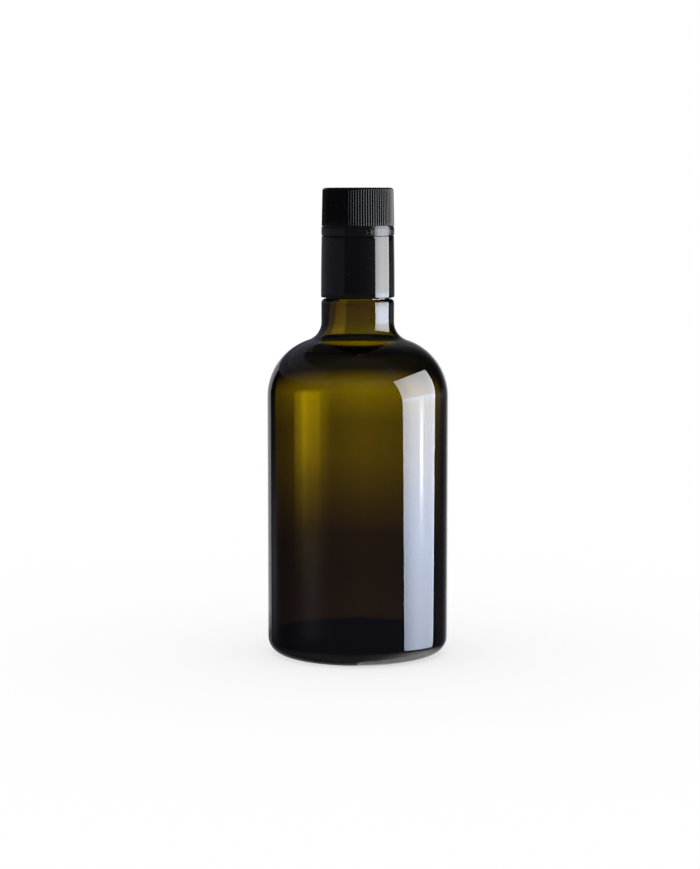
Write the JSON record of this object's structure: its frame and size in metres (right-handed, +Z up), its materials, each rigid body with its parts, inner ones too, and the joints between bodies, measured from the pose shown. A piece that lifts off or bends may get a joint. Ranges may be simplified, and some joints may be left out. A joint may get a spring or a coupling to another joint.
{
  "type": "capped glass oil bottle",
  "caption": "Broad round dark green glass bottle with a rounded shoulder, short neck and pushed-up base, shut by a long black closure with a ribbed screw cap.",
  "frame": {"origin": "on the bottle's axis, in the plane it stands on", "axes": "+Z up along the bottle's axis from base to cap; X and Y are alike, because the bottle is round"},
  "size_m": [0.0786, 0.0786, 0.203],
  "materials": {
    "green_glass": "clear dark antique green bottle glass, polished, with olive light through its wall",
    "gloss_black": "smooth high-gloss black",
    "satin_black": "satin black with fine upright slits",
    "ribbed_black": "semi-gloss black moulded ribs"
  },
  "bodies": {
    "root": {"glass_bottle": "green_glass", "sleeve": "gloss_black", "tamper_band": "satin_black", "screw_cap": "ribbed_black"}
  },
  "joints": []
}
